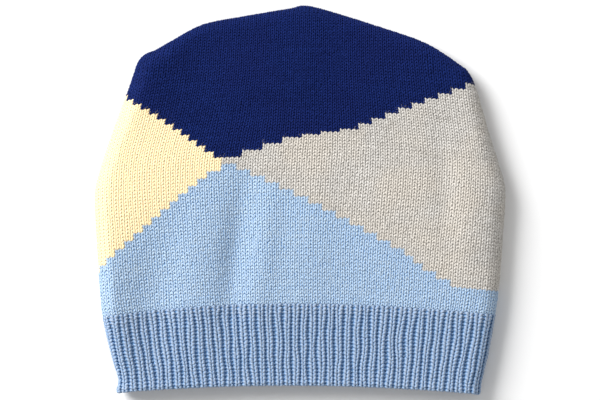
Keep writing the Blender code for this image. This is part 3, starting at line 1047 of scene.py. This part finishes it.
@dataclass(frozen=True)
class Yarn:
    """Finish of one yarn: spun fibre with a light and a dark shade, fine plies and a soft halo.

    slot is the record's material slot, which is not used here; patch is the tint of the wide soft patches
    and shade the colour of the yarn's underside.
    """

    name: str
    slot: str
    light: Colour
    dark: Colour
    patch: Colour
    patch_amount: float
    # painted shade: the colour that the yarn takes on its underside, at its ends and down in the ribs'
    # furrows
    shade: Colour
    contrast: float
    sheen: float
    ply_turns: float = 0.6
    ply_depth: float = 0.00016
    roughness: float = 0.9
    gloss: float = 0.12
    plies: float = 2.0
    fibres_round: float = 7.0
    fibres_along: float = 0.7
    fibre_noise: tuple[float, float] = (1.6, 3.0)
    fleck_noise: tuple[float, float] = (900.0, 2.0)
    cloud_noise: tuple[float, float] = (34.0, 2.0)
    cloud_start: float = 0.42
    cloud_gain: float = 4.0
    tone_share: float = 1.3
    fibre_share: float = 1.2
    fleck_share: float = 1.1
    ply_relief: float = 0.5
    fibre_relief: float = 0.9
    fleck_relief: float = 0.5
    bump_strength: float = 0.9
    sheen_roughness: float = 0.45

    def material(self) -> bpy.types.Material:
        """Makes the yarn's material.

        The shade of a spot is its stitch's own tone plus noise: one along the fibres and one of single
        flecks. Wide soft patches tint it, and painted shade darkens it toward the yarn's underside and its
        ends, and down in the ribs' furrows. The plies are a sine that winds round the yarn.

        Returns:
            The material.
        """
        made = empty_material(self.name)
        nodes = Nodes(made.node_tree)
        tone, depth = (nodes.value("ShaderNodeAttribute", {"attribute_name": name}, {}, "Fac")
                       for name in ("tone", "depth"))
        place = nodes.value("ShaderNodeTexCoord", {}, {}, "Object")
        strand = nodes.value("ShaderNodeUVMap", {"uv_map": "strand"}, {}, "UV")
        around, along = (nodes.value("ShaderNodeSeparateXYZ", {}, {0: strand}, axis) for axis in "XY")
        turn = around * self.plies + along * self.ply_turns
        lay = {0: turn * self.fibres_round, 1: along * self.fibres_along}
        fibre = nodes.noise(nodes.value("ShaderNodeCombineXYZ", {}, lay), *self.fibre_noise)
        fleck, cloud = nodes.noise(place, *self.fleck_noise), nodes.noise(place, *self.cloud_noise)
        spots = (fibre - 0.5) * self.fibre_share + (fleck - 0.5) * self.fleck_share
        shade = ((tone - 0.5) * self.tone_share + spots) * self.contrast + 0.5
        colour = nodes.mix(shade.clamped(), (*self.dark, 1.0), (*self.light, 1.0))
        tint = ((cloud - self.cloud_start) * self.cloud_gain).clamped() * self.patch_amount
        colour = nodes.mix(tint, colour, (*self.patch, 1.0))
        # painted shade: toward the yarn's underside and ends, and in the furrows, the colour turns to the
        # shade colour
        colour = nodes.mix(depth * depth, (*self.shade, 1.0), colour)
        plies = (turn * (2 * math.pi)).sine() * self.ply_relief
        height = plies + fibre * self.fibre_relief + fleck * self.fleck_relief
        bump = nodes.value("ShaderNodeBump", {}, {"Height": height, "Distance": self.ply_depth,
                                                 "Strength": self.bump_strength})
        nodes.surface({
            "Base Color": colour,
            "Roughness": self.roughness,
            "Normal": bump,
            "Sheen Weight": self.sheen,
            "Sheen Roughness": self.sheen_roughness,
            "Sheen Tint": (*self.light, 1.0),
            "Specular IOR Level": self.gloss,
        })
        return made


# The last colour of each yarn is its painted shade, for its underside, its ends and the ribs' furrows
YARNS = {
    Block.NAVY: Yarn(
        "navy wool", "navy_yarn", (0.0102, 0.0268, 0.161), (0.0049, 0.0128, 0.085), (0.0096, 0.0158, 0.108),
        0.35, (0.0036, 0.0100, 0.068), 0.7, 0.01, gloss=0.08),
    Block.CREAM: Yarn(
        "cream wool", "cream_yarn", (0.96, 0.775, 0.48), (0.94, 0.735, 0.435), (0.95, 0.75, 0.455),
        0.30, (0.97, 0.785, 0.475), 0.3, 0.05, ply_depth=0.00006),
    Block.GREY: Yarn(
        "grey marl wool", "grey_yarn", (0.72, 0.70, 0.67), (0.47, 0.45, 0.42), (0.665, 0.60, 0.51),
        0.60, (0.54, 0.51, 0.47), 0.75, 0.05),
    Block.BLUE: Yarn(
        "light blue wool", "blue_yarn", (0.575, 0.65, 0.695), (0.40, 0.525, 0.69), (0.46, 0.565, 0.70),
        0.30, (0.18, 0.41, 0.74), 0.45, 0.05),
    # the band's yarn is the light blue wool painted darker all over, as painted shade of the band
    Block.RIB: Yarn(
        "light blue rib wool in painted shade", "rib_yarn", (0.46, 0.505, 0.58), (0.32, 0.41, 0.55), (0.375, 0.445, 0.57),
        0.30, (0.12, 0.31, 0.60), 0.45, 0.05),
}


@dataclass(frozen=True)
class Knit:
    """Block of knit: pieces of yarn on its stitches, over a backing wall."""

    block: Block
    wall: Backing = Backing()
    loose: Looseness = Looseness()
    upper_sides: int = 5
    under_sides: int = 4
    wall_room: MapArea = MapArea(0.0, 0.0, 1.0, 0.12)

    def yarn(self, cloth: Cloth, loose: Looseness) -> list[Patch]:
        """Lays the block's yarn on one face: each kind of knit has its own way."""
        raise NotImplementedError

    @staticmethod
    def stitches(cloth: Cloth, low: int, high: int) -> tuple[Array, Array]:
        """Wales and courses of all stitches from one course up to another, a little past both folds."""
        return np.meshgrid(np.arange(-1, cloth.gauge.wales + 1), np.arange(low, high), indexing="ij")

    def dress(self, cloth: Cloth, material: bpy.types.Material) -> None:
        """Joins the block's yarn and wall on one face into a piece and ties it to the frame.

        Args:
            cloth: the face of the hat.
            material: the yarn's material.
        """
        loose = self.loose if cloth.face is Face.UPPER else Looseness(lift=0.0)
        patches = self.yarn(cloth, loose) + [self.wall.patch(cloth, self.block, self.wall_room)]
        piece = Patch.joined(patches).to_object(f"{self.block.value}_{cloth.face.value}_knit")
        piece.data.materials.append(material)
        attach(piece, "root")
        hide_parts(self.block.value)
        piece.data.calc_loop_triangles()
        LOG.info("%s: %d triangles", piece.name, len(piece.data.loop_triangles))


@dataclass(frozen=True)
class PlainKnit(Knit):
    """Block of plain knit: two legs of yarn for each stitch, which spread like a V.

    fullness is how wide the block's yarn is beside the common one, and relief how far it stands out of the
    cloth beside it.
    """

    fullness: float = 1.0
    relief: float = 1.0
    upper_leg: tuple[Station, ...] = (
        Station(-0.34, 0.03, -0.00046),
        Station(-0.04, 0.11, -0.00018, 0.00108, 0.00060),
        Station(0.50, 0.25, -0.00008, 0.00144, 0.00066),
        Station(1.03, 0.375, -0.00027, 0.00126, 0.00062),
        Station(1.34, 0.365, -0.00070),
    )
    under_leg: tuple[Station, ...] = (
        Station(-0.32, 0.05, -0.00075),
        Station(0.20, 0.17, -0.00028, 0.00136, 0.00076),
        Station(0.86, 0.34, -0.00030, 0.00136, 0.00076),
        Station(1.34, 0.34, -0.00085),
    )
    upper_spare: float = 0.0004
    fuzz: Fuzz = Fuzz()
    leg_rooms: tuple[MapArea, MapArea] = (MapArea(0.0, 0.15, 0.5, 1.0), MapArea(0.5, 0.15, 1.0, 1.0))
    fuzz_room: MapArea = MapArea(0.0, 0.125, 1.0, 0.147)

    def yarn(self, cloth: Cloth, loose: Looseness) -> list[Patch]:
        """Lays the left legs, the right legs and, on the upper face, the loose fibres.

        Args:
            cloth: the face of the hat.
            loose: how large the small differences are.

        Returns:
            The yarn, part by part.
        """
        upper = cloth.face is Face.UPPER
        wale, course = self.stitches(cloth, 0, cloth.top_course - 1)
        spare = self.upper_spare if upper else -self.upper_spare
        kept = cloth.chart.has(self.block, wale, course) & cloth.holds(wale + 0.5, course + 0.5, spare)
        wale, course = wale[kept], course[kept]
        table = np.array(self.upper_leg if upper else self.under_leg)
        leg = YarnPiece(table * (1.0, 1.0, self.relief, self.fullness, self.relief),
                        self.upper_sides if upper else self.under_sides, cloth.gauge)
        made = [leg.spread(cloth, wale + 0.5, course, mirrored, room, loose)
                for mirrored, room in zip((False, True), self.leg_rooms)]
        if upper:
            edge = ~np.logical_and.reduce([cloth.chart.has(self.block, wale + aside, course + up)
                                           for aside, up in ((1, 0), (-1, 0), (0, 1), (0, -1))])
            made += self.fuzz.patches(cloth, wale, course, edge, self.fuzz_room, loose)
        return made


@dataclass(frozen=True)
class RibKnit(Knit):
    """Band of one-by-one rib: raised knit columns, purl bumps in the furrows between, and a rolled rim.

    The knit goes round the rim and a little way up the inside, where the ribs and the furrows change places.
    """

    block: Block = Block.RIB
    leg: tuple[Station, ...] = (
        Station(-0.40, 0.08, -0.00080),
        Station(-0.07, 0.19, -0.00030, 0.00162, 0.00085),
        Station(0.45, 0.39, -0.00004, 0.00218, 0.00095),
        Station(0.94, 0.59, -0.00028, 0.00210, 0.00090),
        Station(1.38, 0.71, -0.00100),
    )
    inner_leg: tuple[Station, ...] = (
        Station(-0.40, 0.12, -0.00100),
        Station(0.18, 0.32, -0.00028, 0.00190, 0.00105),
        Station(0.84, 0.52, -0.00028, 0.00190, 0.00105),
        Station(1.38, 0.60, -0.00105),
    )
    bump: tuple[Station, ...] = (
        Station(0.30, -0.60, -0.00130),
        Station(0.48, -0.22, -0.00062, 0.00120, 0.00085),
        Station(0.62, 0.22, -0.00062, 0.00120, 0.00085),
        Station(0.44, 0.60, -0.00130),
    )
    fold_spare: float = 0.0008
    rolled_courses: int = 2
    inner_courses: int = 8
    wall: Backing = Backing(outer=-0.00085, inner=-0.0017, per_wale=2)
    rooms: tuple[MapArea, ...] = (
        MapArea(0.0, 0.45, 0.5, 1.0), MapArea(0.5, 0.45, 1.0, 1.0), MapArea(0.0, 0.30, 0.5, 0.44),
        MapArea(0.5, 0.30, 1.0, 0.44), MapArea(0.0, 0.15, 0.7, 0.29), MapArea(0.72, 0.15, 1.0, 0.29),
    )

    def yarn(self, cloth: Cloth, loose: Looseness) -> list[Patch]:
        """Lays the band's knit columns and purl bumps, and both again inside the rim.

        Args:
            cloth: the face of the hat.
            loose: how large the small differences are.

        Returns:
            The yarn, part by part.
        """
        upper = cloth.face is Face.UPPER
        rim = cloth.gauge.band_courses + self.rolled_courses
        wale, course = self.stitches(cloth, -rim - self.inner_courses, 0)
        kept = cloth.holds(wale + 0.5, course + 0.5, self.fold_spare)
        outer = course >= -rim
        on_rib = (wale + cloth.rib_shift) % 2 == 1
        ribs, furrows = kept & (outer == on_rib), kept & (outer != on_rib)
        front = YarnPiece(np.array(self.leg if upper else self.inner_leg),
                          self.upper_sides if upper else self.under_sides, cloth.gauge)
        back, bump = (YarnPiece(np.array(table), self.under_sides, cloth.gauge)
                      for table in (self.inner_leg, self.bump))
        sorts = (
            (front, ribs & outer, False), (front, ribs & outer, True),
            (back, ribs & ~outer, False), (back, ribs & ~outer, True),
            (bump, furrows & outer, False), (bump, furrows & ~outer, False),
        )
        return [piece.spread(cloth, wale[chosen] + 0.5, course[chosen], mirrored, room, loose)
                for (piece, chosen, mirrored), room in zip(sorts, self.rooms)]


@dataclass(frozen=True)
class Lamp:
    """Square area lamp that looks at the hat: its place, its power in watts and its side."""

    name: str
    place: tuple[float, float, float]
    power: float
    side: float

    def hang(self) -> None:
        """Makes the lamp and turns it to the hat."""
        light = bpy.data.lights.new(self.name, "AREA")
        light.energy, light.size = self.power, self.side
        lamp = linked(self.name, light)
        lamp.location = self.place
        x, y, z = self.place
        lamp.rotation_euler = (math.atan2(math.hypot(x, y), z), 0.0, math.atan2(-y, -x) - math.pi / 2)


@dataclass(frozen=True)
class Studio:
    """Pale floor, soft light and the camera over the hat."""

    frame_width: float = 0.3504
    sensor: float = 36.0
    camera_height: float = 1.5
    floor_side: float = 6.0
    floor_colour: Colour = (0.93, 0.93, 0.93)
    floor_roughness: float = 0.9
    floor_grain: tuple[float, float] = (60.0, 3.0)
    grain_shade: float = 0.985
    lamps: tuple[Lamp, ...] = (
        Lamp("key light", (-2.00, 1.50, 1.55), 147.0, 1.8),
        Lamp("fill light", (0.9, -0.5, 1.0), 1.0, 1.2),
    )
    sky: float = 0.45
    view_reach: float = 20.0

    def build(self, look_at_height: float) -> None:
        """Makes the floor, the lights, the world and the camera.

        Args:
            look_at_height: height at which the frame has its full width.
        """
        self.floor()
        for lamp in self.lamps:
            lamp.hang()
        world = bpy.data.worlds.new("soft room")
        world.use_nodes = True
        sky = world.node_tree.nodes["Background"]
        sky.inputs["Color"].default_value = (1.0, 1.0, 1.0, 1.0)
        sky.inputs["Strength"].default_value = self.sky
        scene = bpy.context.scene
        scene.world = world
        scene.view_settings.view_transform = "Standard"
        lens = bpy.data.cameras.new("camera")
        lens.sensor_width = self.sensor
        lens.lens = self.sensor * (self.camera_height - look_at_height) / self.frame_width
        lens.clip_end = self.view_reach
        scene.camera = linked("camera", lens)
        scene.camera.location = (0.0, 0.0, self.camera_height)

    def floor(self) -> None:
        """Makes the floor: one square just under the hat, with a faint grain in its colour."""
        half = self.floor_side / 2
        mesh = bpy.data.meshes.new("floor")
        corners = [(-half, -half, 0.0), (half, -half, 0.0), (half, half, 0.0), (-half, half, 0.0)]
        mesh.from_pydata(corners, [], [(0, 1, 2, 3)])
        made = empty_material("pale floor")
        nodes = Nodes(made.node_tree)
        place = nodes.value("ShaderNodeTexCoord", {}, {}, "Object")
        darker = tuple(channel * self.grain_shade for channel in self.floor_colour)
        colour = nodes.mix(nodes.noise(place, *self.floor_grain), (*darker, 1.0), (*self.floor_colour, 1.0))
        nodes.surface({"Base Color": colour, "Roughness": self.floor_roughness})
        mesh.materials.append(made)
        linked("floor", mesh)


def main() -> None:
    logging.basicConfig(level=logging.INFO, format="%(message)s")
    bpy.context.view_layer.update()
    form, gauge = HatForm(), Gauge()
    knits = [
        PlainKnit(Block.NAVY, fullness=0.91, relief=1.15),
        PlainKnit(Block.CREAM, fullness=1.2, relief=0.45, wall=Backing(outer=-0.00010),
                  loose=Looseness(across=0.012, along=0.03, lift=0.00001, size=0.02)),
        PlainKnit(Block.GREY),
        PlainKnit(Block.BLUE),
        RibKnit(),
    ]
    materials = {block: yarn.material() for block, yarn in YARNS.items()}
    draw = np.random.default_rng(SEED)
    for face in Face:
        cloth = Cloth(form, gauge, face, draw)
        for knit in knits:
            knit.dress(cloth, materials[knit.block])
    Studio().build(form.edge_loft / 2)


if __name__ == "__main__":
    main()
